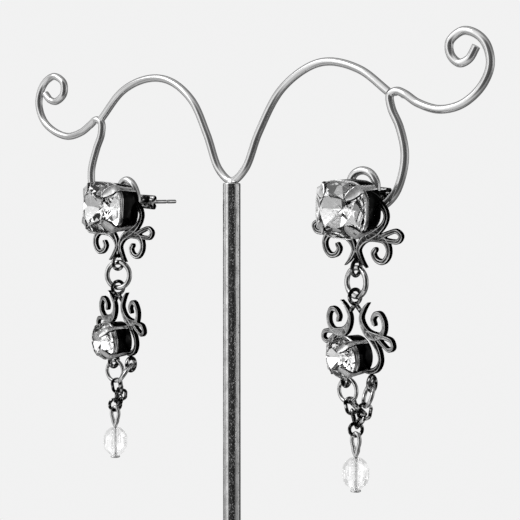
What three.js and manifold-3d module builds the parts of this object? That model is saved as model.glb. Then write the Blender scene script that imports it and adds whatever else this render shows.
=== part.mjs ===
// A pair of stud drop earrings hanging on a wire display stand.
// Millimetres, +Z up. The origin is the middle of the foot plate's underside. The stand's
// wires lie in the XZ plane, and the earrings face -Y.

import * as THREE from "three";
import { ConvexGeometry } from "three/addons/geometries/ConvexGeometry.js";
import { mergeVertices } from "three/addons/utils/BufferGeometryUtils.js";
import Module from "manifold-3d";

const wasm = await Module();
wasm.setup();

// ---------------------------------------------------------------- driving dimensions

// Stand
const FOOT = { diameter: 70, thickness: 4, bevel: 0.8, socketDepth: 2.5, socketGap: 0.3 };
const POST_DIAMETER = 2.9;
const WIRE_DIAMETER = 1.3;
const VALLEY_HEIGHT = 100; // middle of the arched wire, where it lies on the post

// Both arms were bent by hand, so each has its own route: x from the post's axis outwards,
// z from the valley up. The scroll runs from its free end to the weld, and the hook from the
// weld down and round the ear post into a small loop.
const ARMS = {
  right: {
    side: 1,
    arch: [
      { x: 2.7, z: 1.9 }, { x: 5.45, z: 7.6 }, { x: 9.65, z: 13.9 }, { x: 14.9, z: 17.2 },
      { x: 18.9, z: 17.8 }, { x: 24.4, z: 16.2 }, { x: 29.4, z: 12.6 },
    ],
    scroll: [
      { x: 43.75, z: 18.3 }, { x: 42.6, z: 16.6 }, { x: 41.15, z: 16.1 }, { x: 39.7, z: 17.3 },
      { x: 39.5, z: 19.2 }, { x: 41.5, z: 20.6 }, { x: 43.6, z: 20.1 }, { x: 45.35, z: 18.4 },
      { x: 45.95, z: 15.5 }, { x: 44.6, z: 12.6 }, { x: 41.55, z: 10.3 }, { x: 37.85, z: 9.7 },
      { x: 34.3, z: 10.8 }, { x: 32.1, z: 12.2 },
    ],
    hook: [
      { x: 30.7, z: 12.7 }, { x: 29.6, z: 12.2 }, { x: 29.85, z: 10.3 }, { x: 31.25, z: 7.4 },
      { x: 32.15, z: 3.6 }, { x: 31.7, z: 0.3 }, { x: 30.4, z: -2.5 }, { x: 28.4, z: -4.1 },
      { x: 26, z: -4.5 }, { x: 23.5, z: -3.7 }, { x: 22.6, z: -2.1 }, { x: 22.65, z: -0.5 },
      { x: 23.5, z: 0.8 }, { x: 24.9, z: 1.2 }, { x: 26.3, z: 0.7 }, { x: 27.2, z: -0.6 },
      { x: 27.3, z: -1.9 },
    ],
  },
  left: {
    side: -1,
    arch: [
      { x: 2.6, z: 1.9 }, { x: 5.1, z: 7.6 }, { x: 8.2, z: 13.2 }, { x: 12.75, z: 16.6 },
      { x: 17.6, z: 17.4 }, { x: 23.5, z: 15.7 }, { x: 28.7, z: 11.0 },
    ],
    scroll: [
      { x: 42.2, z: 16.1 }, { x: 41.0, z: 15.0 }, { x: 39.5, z: 14.7 }, { x: 37.7, z: 15.9 },
      { x: 37.7, z: 17.8 }, { x: 39.9, z: 19.1 }, { x: 42.0, z: 18.4 }, { x: 43.4, z: 16.7 },
      { x: 43.9, z: 14.4 }, { x: 42.75, z: 11.5 }, { x: 40.2, z: 9.5 }, { x: 36.7, z: 8.4 },
      { x: 33.4, z: 9.0 }, { x: 31.2, z: 10.2 },
    ],
    hook: [
      { x: 29.8, z: 11.0 }, { x: 28.6, z: 10.5 }, { x: 28.6, z: 8.5 }, { x: 29.75, z: 6.0 },
      { x: 31.0, z: 2.0 }, { x: 30.4, z: -1.8 }, { x: 28.4, z: -4.0 }, { x: 25.2, z: -4.95 },
      { x: 22.7, z: -4.9 }, { x: 21, z: -4.5 }, { x: 20.3, z: -3.1 }, { x: 20.7, z: -1.3 },
      { x: 21.6, z: 0 }, { x: 22.7, z: 0.5 }, { x: 23.8, z: 0 }, { x: 24.3, z: -1.1 },
    ],
  },
};

// Earring. Its own frame: x to the right, y to the back, z up, from the middle of a
// setting's stone, on the mid-plane of the scroll plate.
const PLATE_THICKNESS = 1.0;
const UPPER = {
  stoneHalf: 4.25, stoneCorner: 3.2, tableHalf: 2.4, girdleFront: -4.7, girdleBack: -4.4,
  tablePlane: -6.3, culetPlane: -1.7,
  cupRim: -3.8, cupBack: 0.45, cupRimHalf: 4.2, cupBackHalf: 3.9, cupWall: 0.35, cupFloor: 0.6,
  clawWidth: 2.2, clawThickness: 0.42, clawScale: 1,
};
const LOWER = {
  stoneHalf: 3.08, stoneCorner: 3.08, tableHalf: 1.75, girdleFront: -3.6, girdleBack: -3.3,
  tablePlane: -4.85, culetPlane: -1.2,
  cupRim: -2.7, cupBack: 0.45, cupRimHalf: 3.15, cupBackHalf: 2.95, cupWall: 0.32, cupFloor: 0.6,
  clawWidth: 1.5, clawThickness: 0.38, clawScale: 0.85,
};
const EAR_POST = { diameter: 0.8, reach: 13.6, height: 0.8 };
const NUT = { width: 3.6, height: 2.3, plate: 0.35, place: 6, curl: 1, hole: 1.5, sunk: 0.05 };
const RING = { // height: a ring's middle, from the upper stone's middle
  upper: { radius: 1.2, wire: 0.6, height: -9.35 },
  connector: { radius: 2.15, wire: 0.9, height: -11.5 },
  lower: { radius: 1.2, wire: 0.6, height: -13.65 },
};
const TAB = { diameter: 0.8, top: -6.4 }; // holds the upper ring
const STRUT = { diameter: 0.7, x: 1.25, foot: 6.5 }; // hold the lower ring, between its scrolls
const LOWER_DROP = 8.75; // from the lower ring's middle down to the lower stone's middle
const LOWER_SPLAY = 8; // degrees that each lower scroll half leans outwards
const LOWER_LIFT = -0.7; // and how far it is raised
// Below the lower setting: LOOP.height from its stone's middle, the rest from the loops.
const LOOP = { x: 3, y: -0.2, height: -4.05, radius: 1.05, wire: 0.8 };
const JUMP = { radius: 1.66, wire: 0.6 };
const CHAIN = { diameter: 1.5, gap: 0.3, lead: 0.6, meet: -6.35, end: -7.6, spread: 0.55 };
const PIN = {
  wire: 0.62, eyeTop: -8.05, eyeWidth: 1.9, eyeLength: 3, foot: -16.35, head: 1.7, rim: 0.35,
};
const BEAD = { diameter: 4.1, top: -11.25, bottom: -15.8, bore: 1.2, facets: 10 };

// How each earring hangs, in degrees: yaw about Z, pitch about X (face down), roll about Y
// (clockwise seen from the front). The drop's lean puts its weight under its ring, and its
// slide is how far its ring lies from the middle of the connector's wire. The shift and sag
// are how far the chain's joint hangs aside and down.
const HANGING = {
  right: {
    place: new THREE.Vector3(25.6, -2.5, 95.9), yaw: 1, pitch: 8, roll: 6,
    ringYaw: -16, dropYaw: -17, dropLean: 5.4, dropRoll: 1.2,
    slide: new THREE.Vector3(-0.15, -0.12, 0), shift: -0.7, sag: 0.5,
    jump: { left: { yaw: 8, pitch: 0, roll: -11 }, right: { yaw: -35, pitch: -25, roll: 0 } },
  },
  left: {
    place: new THREE.Vector3(-21.85, -2.5, 95.9), yaw: -2, pitch: 1, roll: 4.5,
    ringYaw: 14, dropYaw: -18.5, dropLean: 5, dropRoll: 1.2,
    slide: new THREE.Vector3(-0.1, 0, 0), shift: -2.6, sag: 0.3,
    jump: { left: { yaw: 20, pitch: 0, roll: -8 }, right: { yaw: -30, pitch: -35, roll: 0 } },
  },
};

// Half of the scroll plate: the middle line of each stroke, with its width.
const STEM_STROKE = [ // horn tip, neck, body and scroll, to the scroll's inner tip
  { x: 1.85, z: -9.2, width: 0.25 }, { x: 1.02, z: -8.05, width: 0.6 },
  { x: 0.39, z: -6.55, width: 0.85 }, { x: 0.93, z: -5.3, width: 1.15 },
  { x: 2.05, z: -4.45, width: 1.45 }, { x: 3.51, z: -4.3, width: 1.45 },
  { x: 4.88, z: -4.7, width: 1.1 }, { x: 5.56, z: -5.75, width: 0.9 },
  { x: 5.46, z: -6.95, width: 0.9 }, { x: 4.58, z: -7.9, width: 0.86 },
  { x: 3.5, z: -7.65, width: 0.84 }, { x: 3, z: -6.75, width: 0.84 },
  { x: 3.3, z: -6.2, width: 0.8 },
];
const EYELET_STROKE = [
  { x: 4.17, z: -4.2, width: 0.9 }, { x: 5.43, z: -3.5, width: 0.75 },
  { x: 6.79, z: -3.05, width: 0.72 }, { x: 7.61, z: -3.65, width: 0.75 },
  { x: 7.18, z: -4.5, width: 0.75 }, { x: 5.92, z: -4.65, width: 0.7 },
  { x: 4.75, z: -4.55, width: 0.8 },
];
const LOBE_STROKE = [ // round the back of the cup
  { x: 2.13, z: -4.35, width: 1.2 }, { x: 3.59, z: -3.4, width: 1.15 },
  { x: 4.75, z: -2.1, width: 0.9 }, { x: 5.04, z: -0.9, width: 0.85 },
  { x: 4.5, z: 0.25, width: 0.9 }, { x: 3.3, z: 1.05, width: 0.9 },
  { x: 1.9, z: 1.3, width: 0.8 }, { x: 0.7, z: 1.1, width: 0.8 },
];

const radians = THREE.MathUtils.degToRad;

// ---------------------------------------------------------------- solids

function solid(geometry) {
  const bare = geometry.index ? geometry.clone() : geometry;
  bare.deleteAttribute("normal");
  bare.deleteAttribute("uv");
  const welded = mergeVertices(bare, 1e-4);
  return new wasm.Manifold(new wasm.Mesh({
    numProp: 3,
    vertProperties: new Float32Array(welded.attributes.position.array),
    triVerts: new Uint32Array(welded.index.array),
  }));
}

function join(geometries) {
  let whole = solid(geometries[0]);
  for (const geometry of geometries.slice(1)) whole = whole.add(solid(geometry));
  return whole;
}

function geometryOf(manifold) {
  const mesh = manifold.getMesh();
  const geometry = new THREE.BufferGeometry();
  geometry.setAttribute("position", new THREE.Float32BufferAttribute(mesh.vertProperties, 3));
  geometry.setIndex(new THREE.Uint32BufferAttribute(mesh.triVerts, 1));
  geometry.computeVertexNormals();
  return geometry;
}

function circle(diameter, sides) {
  const shape = new THREE.Shape();
  for (let side = 0; side < sides; side += 1) {
    const angle = (2 * Math.PI * side) / sides;
    const x = (diameter / 2) * Math.cos(angle);
    const y = (diameter / 2) * Math.sin(angle);
    if (side === 0) shape.moveTo(x, y);
    else shape.lineTo(x, y);
  }
  shape.closePath();
  return shape;
}

// A wire or rod along a smooth curve through the points.
function rod(points, diameter, sides, steps) {
  const path = new THREE.CatmullRomCurve3(points, false, "centripetal");
  return new THREE.ExtrudeGeometry(circle(diameter, sides), { steps, extrudePath: path });
}

function ring(radius, wire, sections, sides) {
  return new THREE.TorusGeometry(radius, wire / 2, sides, sections);
}

// A flat stroke of changing width in the XZ plane, with round ends, centred on y = 0.
function stroke(rows, thickness, steps) {
  const spine = new THREE.CatmullRomCurve3(
    rows.map((row) => new THREE.Vector3(row.x, row.z, row.width)), false, "centripetal",
  );
  const near = [];
  const far = [];
  for (let step = 0; step <= steps; step += 1) {
    const point = spine.getPoint(step / steps);
    const tangent = spine.getTangent(step / steps);
    const across = new THREE.Vector2(-tangent.y, tangent.x).setLength(point.z / 2);
    near.push(new THREE.Vector2(point.x, point.y).add(across));
    far.unshift(new THREE.Vector2(point.x, point.y).sub(across));
  }
  const outline = [...near, roundEnd(near.at(-1), far[0]), ...far, roundEnd(far.at(-1), near[0])];
  const plate = new THREE.ExtrudeGeometry(new THREE.Shape(outline), {
    depth: thickness, bevelEnabled: false, steps: 1,
  });
  return plate.translate(0, 0, -thickness / 2).rotateX(Math.PI / 2);
}

// The crown of a round end that joins the last point of one edge to the first of the other.
function roundEnd(from, to) {
  const half = to.clone().sub(from).multiplyScalar(0.5);
  return from.clone().add(half).add(new THREE.Vector2(half.y, -half.x).multiplyScalar(-0.8));
}

// Points of a square with round corners in the plane y, going round the Y axis.
function roundSquare(half, corner, y, perCorner = 5) {
  const points = [];
  for (let quarter = 0; quarter < 4; quarter += 1) {
    for (let step = 0; step <= perCorner; step += 1) {
      const angle = (Math.PI / 2) * (quarter + step / perCorner);
      const middle = Math.PI / 2 * (quarter + 0.5);
      const inset = (half - corner) * Math.SQRT2;
      points.push(new THREE.Vector3(
        inset * Math.cos(middle) + corner * Math.cos(angle), y,
        inset * Math.sin(middle) + corner * Math.sin(angle),
      ));
    }
  }
  return points;
}

// ---------------------------------------------------------------- stand

function armPoints(rows, side) {
  return rows.map((row) => new THREE.Vector3(side * row.x, 0, row.z));
}

function standFrame() {
  const sides = 8;
  const arch = [
    ...armPoints(ARMS.left.arch, -1).reverse(),
    new THREE.Vector3(0, 0, 0),
    ...armPoints(ARMS.right.arch, 1),
  ];
  const wires = [rod(arch, WIRE_DIAMETER, sides, 54)];
  for (const arm of Object.values(ARMS)) {
    const bent = armPoints([...arm.scroll, ...arm.hook], arm.side);
    wires.push(rod(bent, WIRE_DIAMETER, sides, 76));
  }
  const bottom = FOOT.thickness - FOOT.socketDepth + FOOT.socketGap;
  const top = VALLEY_HEIGHT - WIRE_DIAMETER / 4;
  const post = new THREE.CylinderGeometry(POST_DIAMETER / 2, POST_DIAMETER / 2, top - bottom, 24);
  post.rotateX(Math.PI / 2).translate(0, 0, (top + bottom) / 2 - VALLEY_HEIGHT);
  return geometryOf(join([...wires, post])).translate(0, 0, VALLEY_HEIGHT);
}

function standBase() {
  const radius = FOOT.diameter / 2;
  const socket = POST_DIAMETER / 2 + FOOT.socketGap;
  const floor = FOOT.thickness - FOOT.socketDepth;
  const profile = [
    new THREE.Vector2(0, 0),
    new THREE.Vector2(radius, 0),
    new THREE.Vector2(radius, FOOT.thickness - FOOT.bevel),
    new THREE.Vector2(radius - FOOT.bevel, FOOT.thickness),
    new THREE.Vector2(socket, FOOT.thickness),
    new THREE.Vector2(socket, floor),
    new THREE.Vector2(0, floor),
  ];
  return new THREE.LatheGeometry(profile, 48).rotateX(Math.PI / 2);
}

// ---------------------------------------------------------------- settings

function scrollPlate(flip) {
  const halves = [];
  for (const side of [1, -1]) {
    const strokes = [
      stroke(STEM_STROKE, PLATE_THICKNESS, 26),
      stroke(EYELET_STROKE, PLATE_THICKNESS, 15),
      stroke(LOBE_STROKE, PLATE_THICKNESS, 11),
    ];
    const half = join(strokes);
    const place = new THREE.Matrix4();
    if (flip) {
      place.makeRotationY(radians(LOWER_SPLAY)).setPosition(0, 0, LOWER_LIFT);
      place.multiply(new THREE.Matrix4().makeScale(1, 1, -1));
    }
    place.premultiply(new THREE.Matrix4().makeScale(side, 1, 1));
    halves.push(half.transform(place.elements));
  }
  return halves[0].add(halves[1]);
}

function hull(...sections) {
  return new ConvexGeometry(sections.flat());
}

function cup(size) {
  const ratio = size.stoneCorner / size.stoneHalf;
  const section = (half, y) => roundSquare(half, half * ratio, y);
  const outer = solid(hull(section(size.cupRimHalf, size.cupRim), section(size.cupBackHalf, size.cupBack)));
  const slope = (size.cupRimHalf - size.cupBackHalf) / (size.cupBack - size.cupRim);
  const floor = size.cupBack - size.cupFloor;
  const mouth = size.cupRim - 1;
  const inside = (y) => size.cupRimHalf - size.cupWall - slope * (y - size.cupRim);
  return outer.subtract(solid(hull(section(inside(mouth), mouth), section(inside(floor), floor))));
}

// A claw is drawn as a stroke in the plane of its corner, with x out from the stone's middle
// and z forward, then turned to that corner.
function claws(size) {
  const ratio = size.stoneCorner / size.stoneHalf;
  const edge = size.cupRimHalf * ((1 - ratio) * Math.SQRT2 + ratio);
  const rows = [
    { out: -0.3, ahead: -1.7 }, { out: -0.05, ahead: -1.2 }, { out: 0.31, ahead: -0.25 },
    { out: 0.16, ahead: 0.3 }, { out: -0.5, ahead: 0.95 }, { out: -1.15, ahead: 1.45 },
  ].map(({ out, ahead }) => ({
    x: edge + out * size.clawScale,
    z: -size.girdleFront + ahead * size.clawScale,
    width: size.clawThickness,
  }));
  const four = [];
  for (let corner = 0; corner < 4; corner += 1) {
    const claw = stroke(rows, size.clawWidth, 6);
    claw.rotateX(Math.PI / 2).rotateY(Math.PI / 4 + (corner * Math.PI) / 2);
    four.push(claw);
  }
  return join(four);
}

function stone(size) {
  const ratio = size.stoneCorner / size.stoneHalf;
  const section = (half, y) => roundSquare(half, half * ratio, y, 3);
  const mid = (size.tableHalf + size.stoneHalf) / 2;
  return hull(
    section(size.tableHalf, size.tablePlane),
    section(mid, (size.tablePlane * 0.52 + size.girdleFront * 0.48)),
    section(size.stoneHalf, size.girdleFront),
    section(size.stoneHalf, size.girdleBack),
    section(0.3, size.culetPlane),
  );
}

function bar(from, to, diameter) {
  return rod([new THREE.Vector3(...from), new THREE.Vector3(...to)], diameter, 8, 1);
}

function upperFrame() {
  const { radius, wire, height } = RING.upper;
  const post = bar([0, 0, EAR_POST.height], [0, EAR_POST.reach, EAR_POST.height], EAR_POST.diameter);
  const tab = bar([0, 0, TAB.top], [0, 0, height + radius], TAB.diameter);
  const loop = ring(radius, wire, 16, 8).rotateY(Math.PI / 2).translate(0, 0, height);
  let whole = scrollPlate(false).add(cup(UPPER)).add(claws(UPPER));
  for (const piece of [post, tab, loop]) whole = whole.add(solid(piece));
  return geometryOf(whole);
}

function lowerFrame() {
  const { radius, wire } = RING.lower;
  const ringBottom = LOWER_DROP - radius;
  const pieces = [ring(radius, wire, 16, 8).rotateY(Math.PI / 2).translate(0, 0, LOWER_DROP)];
  for (const side of [1, -1]) {
    pieces.push(bar([0, 0, ringBottom], [side * STRUT.x, 0, STRUT.foot], STRUT.diameter));
    pieces.push(ring(LOOP.radius, LOOP.wire, 16, 8).rotateY(Math.PI / 2)
      .translate(side * LOOP.x, LOOP.y, LOOP.height));
  }
  let whole = scrollPlate(true).add(cup(LOWER)).add(claws(LOWER));
  for (const piece of pieces) whole = whole.add(solid(piece));
  return geometryOf(whole);
}

// A butterfly clutch: a small plate on the post with a rolled wing over and under it.
function earNut() {
  const plate = new THREE.BoxGeometry(NUT.width, NUT.plate, NUT.height);
  const pieces = [plate];
  for (const side of [1, -1]) {
    const curl = bar([-NUT.width / 2, 0, 0], [NUT.width / 2, 0, 0], NUT.curl);
    curl.translate(0, (NUT.plate + NUT.curl) / 2 - NUT.sunk, side * (NUT.height - NUT.curl) / 2);
    pieces.push(curl);
  }
  const bore = bar([0, -NUT.width, 0], [0, NUT.width, 0], NUT.hole);
  return geometryOf(join(pieces).subtract(solid(bore)))
    .translate(0, NUT.place, EAR_POST.height);
}

// ---------------------------------------------------------------- below the lower setting

// Two short chains, drawn as one tube each, from the jump rings to their joint.
function chain(starts, { shift, sag }) {
  const meet = CHAIN.meet - sag;
  const branches = starts.map(({ side, start, lead }) => {
    const last = new THREE.Vector3(side * CHAIN.spread / 2 + shift, 0, meet);
    const end = new THREE.Vector3(shift, 0, CHAIN.end - sag + side * 0.02);
    return rod([start, lead, last, end], CHAIN.diameter, 8, 8);
  });
  return geometryOf(join(branches));
}

function headPin() {
  const { wire, eyeTop, eyeWidth, eyeLength, foot, head, rim } = PIN;
  const halfWidth = (eyeWidth - wire) / 2;
  const bottom = eyeTop - eyeLength;
  const eye = ring(halfWidth, wire, 16, 8).rotateX(Math.PI / 2)
    .scale(1, 1, eyeLength / (2 * halfWidth + wire)).translate(0, 0, (eyeTop + bottom) / 2);
  const stem = bar([0, 0, bottom + wire], [0, 0, foot + rim / 2], wire);
  const cap = new THREE.CylinderGeometry(head / 2, head / 2, rim, 16).rotateX(Math.PI / 2);
  return geometryOf(join([eye, stem, cap.translate(0, 0, foot + rim / 2)]));
}

function bead() {
  const { diameter, top, bottom, bore, facets } = BEAD;
  const middle = (top + bottom) / 2;
  const half = (top - bottom) / 2;
  const profile = [
    new THREE.Vector2(bore / 2, middle - half),
    new THREE.Vector2(diameter * 0.28, middle - half),
    new THREE.Vector2(diameter * 0.43, middle - half * 0.58),
    new THREE.Vector2(diameter * 0.5, middle),
    new THREE.Vector2(diameter * 0.43, middle + half * 0.58),
    new THREE.Vector2(diameter * 0.28, middle + half),
    new THREE.Vector2(bore / 2, middle + half),
    new THREE.Vector2(bore / 2, middle - half),
  ];
  return new THREE.LatheGeometry(profile, facets).rotateX(Math.PI / 2);
}

// ---------------------------------------------------------------- materials

const finish = {
  chrome: () => new THREE.MeshStandardMaterial({ color: 0xc9ccd0, roughness: 0.08, metalness: 1 }),
  darkSilver: () => new THREE.MeshStandardMaterial({ color: 0x4a4a4c, roughness: 0.4, metalness: 1 }),
  silver: () => new THREE.MeshStandardMaterial({ color: 0x8c8c8e, roughness: 0.35, metalness: 1 }),
  crystal: () => new THREE.MeshStandardMaterial({ color: 0xf2f4f5, roughness: 0.02, metalness: 0 }),
};

function mesh(name, geometry, material) {
  const node = new THREE.Mesh(geometry, material);
  node.name = name;
  return node;
}

// ---------------------------------------------------------------- assembly

function turned(yaw, pitch, roll) {
  const group = new THREE.Group();
  group.rotation.set(radians(pitch), radians(roll), radians(yaw), "ZYX");
  return group;
}

function earring(name, hang) {
  const whole = new THREE.Group();
  whole.position.copy(hang.place);

  const stud = turned(hang.yaw, hang.pitch, hang.roll);
  stud.add(mesh(`${name}_upper_frame`, upperFrame(), finish.darkSilver()));
  stud.add(mesh(`${name}_upper_stone`, stone(UPPER), finish.crystal()));
  stud.add(mesh(`${name}_ear_nut`, earNut(), finish.silver()));
  whole.add(stud);

  // The connector hangs plumb from the middle of the upper ring.
  const pivot = new THREE.Vector3(0, 0, RING.upper.height)
    .applyEuler(stud.rotation);
  const connector = turned(hang.ringYaw, 0, 0);
  connector.position.copy(pivot);
  const reach = RING.connector.height - RING.upper.height;
  connector.add(mesh(
    `${name}_connector_ring`,
    ring(RING.connector.radius, RING.connector.wire, 24, 8).rotateX(Math.PI / 2).translate(0, 0, reach),
    finish.silver(),
  ));
  whole.add(connector);

  const drop = new THREE.Group();
  drop.rotation.z = radians(hang.dropYaw);
  drop.position.set(pivot.x, pivot.y, pivot.z + RING.lower.height - RING.upper.height)
    .add(hang.slide.clone().applyEuler(drop.rotation));
  whole.add(drop);

  const setting = turned(0, hang.dropLean, hang.dropRoll);
  const lowered = new THREE.Group();
  lowered.position.z = -LOWER_DROP;
  lowered.add(mesh(`${name}_lower_frame`, lowerFrame(), finish.silver()));
  lowered.add(mesh(`${name}_lower_stone`, stone(LOWER), finish.crystal()));
  setting.add(lowered);
  drop.add(setting);

  // Jump rings, chain and bead hang plumb under the leaning setting.
  const plumb = new THREE.Group();
  const loopPlace = new THREE.Vector3(0, LOOP.y, LOOP.height - LOWER_DROP)
    .applyEuler(setting.rotation);
  plumb.position.set(loopPlace.x, loopPlace.y, loopPlace.z);
  const starts = [];
  for (const [word, side] of [["left", -1], ["right", 1]]) {
    const { yaw, pitch, roll } = hang.jump[word];
    const jump = turned(yaw, pitch, roll);
    const tilt = Math.sin(radians(hang.dropRoll));
    jump.position.set(side * LOOP.x, 0, -side * LOOP.x * tilt);
    jump.add(mesh(
      `${name}_jump_ring_${word}`,
      ring(JUMP.radius, JUMP.wire, 18, 8).rotateX(Math.PI / 2).translate(0, 0, -JUMP.radius),
      finish.silver(),
    ));
    plumb.add(jump);
    const reach = 2 * JUMP.radius + JUMP.wire / 2 + CHAIN.gap;
    const [start, lead] = [reach, reach + CHAIN.lead].map((depth) => (
      new THREE.Vector3(0, 0, -depth).applyEuler(jump.rotation).add(jump.position)
    ));
    starts.push({ side, start, lead });
  }
  plumb.add(mesh(`${name}_chain`, chain(starts, hang), finish.silver()));
  const pendant = new THREE.Group();
  pendant.position.set(hang.shift, 0, -hang.sag);
  pendant.add(mesh(`${name}_head_pin`, headPin(), finish.silver()));
  pendant.add(mesh(`${name}_bead`, bead(), finish.crystal()));
  plumb.add(pendant);
  drop.add(plumb);
  return whole;
}

const part = new THREE.Group();
part.add(mesh("stand_base", standBase(), finish.chrome()));
part.add(mesh("stand_frame", standFrame(), finish.chrome()));
for (const [name, hang] of Object.entries(HANGING)) part.add(earring(name, hang));

export default part;
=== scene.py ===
# A pair of stud drop earrings on a polished wire stand.
# Each piece is shaped in millimetres in its own frame and brought to metres when it is placed.

import math

import bmesh
import bpy
from bmesh.types import BMEdge, BMVert
from mathutils import Matrix, Vector


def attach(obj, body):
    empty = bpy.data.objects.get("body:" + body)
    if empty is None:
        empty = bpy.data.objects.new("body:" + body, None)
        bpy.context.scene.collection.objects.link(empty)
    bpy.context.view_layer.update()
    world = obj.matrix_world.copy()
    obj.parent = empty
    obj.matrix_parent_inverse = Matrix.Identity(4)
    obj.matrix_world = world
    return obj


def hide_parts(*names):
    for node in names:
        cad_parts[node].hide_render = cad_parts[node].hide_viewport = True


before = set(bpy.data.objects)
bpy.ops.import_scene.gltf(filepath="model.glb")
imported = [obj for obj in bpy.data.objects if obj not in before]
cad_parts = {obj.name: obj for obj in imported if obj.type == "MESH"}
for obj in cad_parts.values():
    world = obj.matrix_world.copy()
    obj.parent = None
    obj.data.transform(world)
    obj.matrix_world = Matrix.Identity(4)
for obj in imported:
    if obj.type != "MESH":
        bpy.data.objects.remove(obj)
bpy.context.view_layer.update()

MM = 0.001
UP = Vector((0, 0, 1))

# ------------------------------------------------------------------ sizes, in millimetres

WIRE = 1.3
POST = 2.9
VALLEY = 100.0  # height of the arched wire's middle
FOOT = {"radius": 35.0, "thickness": 4.0, "socket": 1.75, "floor": 1.5}

# Each arm was bent by hand: (x out from the post, z up from the valley).
ARMS = {
    "right": {
        "side": 1,
        "arch": [
            (2.7, 1.9), (5.45, 7.6), (9.65, 13.9), (14.9, 17.2),
            (18.9, 17.8), (24.4, 16.2), (29.4, 12.6),
        ],
        "wire": [
            (43.75, 18.3), (42.6, 16.6), (41.15, 16.1), (39.7, 17.3), (39.5, 19.2),
            (41.5, 20.6), (43.6, 20.1), (45.35, 18.4), (45.95, 15.5), (44.6, 12.6),
            (41.55, 10.3), (37.85, 9.7), (34.3, 10.8), (32.1, 12.2),
            (30.7, 12.7), (29.6, 12.2), (29.85, 10.3), (31.25, 7.4), (32.15, 3.6),
            (31.7, 0.3), (30.4, -2.5), (28.4, -4.1), (26, -4.5), (23.5, -3.7),
            (22.6, -2.1), (22.65, -0.5), (23.5, 0.8), (24.9, 1.2), (26.3, 0.7),
            (27.2, -0.6), (27.3, -1.9),
        ],
        "welds": [(29.6, 12.45), (30.6, 12.6), (32.2, 12.1)],
    },
    "left": {
        "side": -1,
        "arch": [
            (2.6, 1.9), (5.1, 7.6), (8.2, 13.2), (12.75, 16.6),
            (17.6, 17.4), (23.5, 15.7), (28.7, 11.0),
        ],
        "wire": [
            (42.2, 16.1), (41.0, 15.0), (39.5, 14.7), (37.7, 15.9), (37.7, 17.8),
            (39.9, 19.1), (42.0, 18.4), (43.4, 16.7), (43.9, 14.4), (42.75, 11.5),
            (40.2, 9.5), (36.7, 8.4), (33.4, 9.0), (31.2, 10.2),
            (29.8, 11.0), (28.6, 10.5), (28.6, 8.5), (29.75, 6.0), (31.0, 2.0),
            (30.4, -1.8), (28.4, -4.0), (25.2, -4.95), (22.7, -4.9), (21, -4.5),
            (20.3, -3.1), (20.7, -1.3), (21.6, 0), (22.7, 0.5), (23.8, 0),
            (24.3, -1.1),
        ],
        "welds": [(28.8, 10.9), (29.8, 11.0), (31.4, 10.1)],
    },
}

# A setting's own frame: x to the right, y to the back, z up, from its plate's middle. half
# and corner are its stone's outline, and table, girdle, culet, rim and back lie that far to
# the front.
PLATE = 0.76
UPPER = {
    "half": 4.25, "corner": 3.2, "table_half": 2.4, "table": 6.3, "girdle": 4.7,
    "girdle_back": 4.4, "culet": 1.7,
    "rim": 3.8, "rim_half": 4.2, "back": -0.45, "back_half": 3.9,
    "claw": 1.85, "claw_thick": 0.4, "scale": 1.0,
}
LOWER = {
    "half": 3.08, "corner": 3.08, "table_half": 1.75, "table": 4.85, "girdle": 3.6,
    "girdle_back": 3.3, "culet": 1.2,
    "rim": 2.7, "rim_half": 3.15, "back": -0.45, "back_half": 2.95,
    "claw": 1.3, "claw_thick": 0.36, "scale": 0.8,
}
EAR_POST = {"diameter": 0.7, "height": 0.8}
NUT = {
    "width": 3.6, "taper": 0.5, "strip": 0.26, "place": 6.0,
    "roll": 0.42, "roll_y": 0.56, "roll_z": 0.66, "eye": 0.72,
}
UPPER_RING = {"radius": 1.2, "wire": 0.6, "height": -9.35}
CONNECTOR = {"radius": 2.15, "wire": 0.87, "height": -11.5, "gap": 1.6, "cut": 118}
LOWER_RING = {"radius": 1.08, "wire": 0.6, "height": -13.65}
TAB = {"diameter": 0.8, "top": -6.4}
STRUT = {"diameter": 0.7, "x": 1.25, "foot": 6.5}
LOWER_DROP = 8.75
LOWER_SPLAY = 8.0
LOWER_LIFT = -0.7
LOOP = {"x": 3.0, "y": -0.2, "height": -4.05, "radius": 1.05, "wire": 0.75, "turn": 112}
JUMP = {"radius": 1.78, "wire": 0.62, "gap": 2.2, "cut": 70}
LINK_WIRE = 0.56
# Heights of the eye, the pin and the bead are up from the middle of the two loops.
EYE = {"wire": 0.64, "top": -7.95, "bottom": -11.35, "half_width": 0.7}
PIN = {"wire": 0.62, "foot": -16.35, "head": 1.7, "rim": 0.35}
BEAD = {"diameter": 4.1, "length": 4.55, "height": -13.525, "bore": 1.2}

# Half of the scroll plate: the middle line of each stroke, as (x, z, width).
STEM = [
    (1.83, -9.04, 0.22), (1.02, -8.05, 0.6), (0.39, -6.55, 0.85), (0.93, -5.3, 1.15),
    (2.05, -4.45, 1.45), (3.51, -4.3, 1.45), (4.88, -4.7, 1.1), (5.56, -5.75, 0.9),
    (5.46, -6.95, 0.9), (4.58, -7.9, 0.86), (3.5, -7.65, 0.84), (3, -6.75, 0.84),
    (3.3, -6.2, 0.8),
]
EYELET = [
    (4.17, -4.2, 0.9), (5.43, -3.5, 0.75), (6.79, -3.05, 0.72), (7.61, -3.65, 0.75),
    (7.18, -4.5, 0.75), (5.92, -4.65, 0.7), (4.75, -4.55, 0.8),
]
LOBE = [
    (2.13, -4.35, 1.2), (3.59, -3.4, 1.15), (4.75, -2.1, 0.9), (5.04, -0.9, 0.85),
    (4.5, 0.25, 0.9), (3.3, 1.05, 0.9), (1.9, 1.3, 0.8), (0.7, 1.1, 0.8),
]

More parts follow.
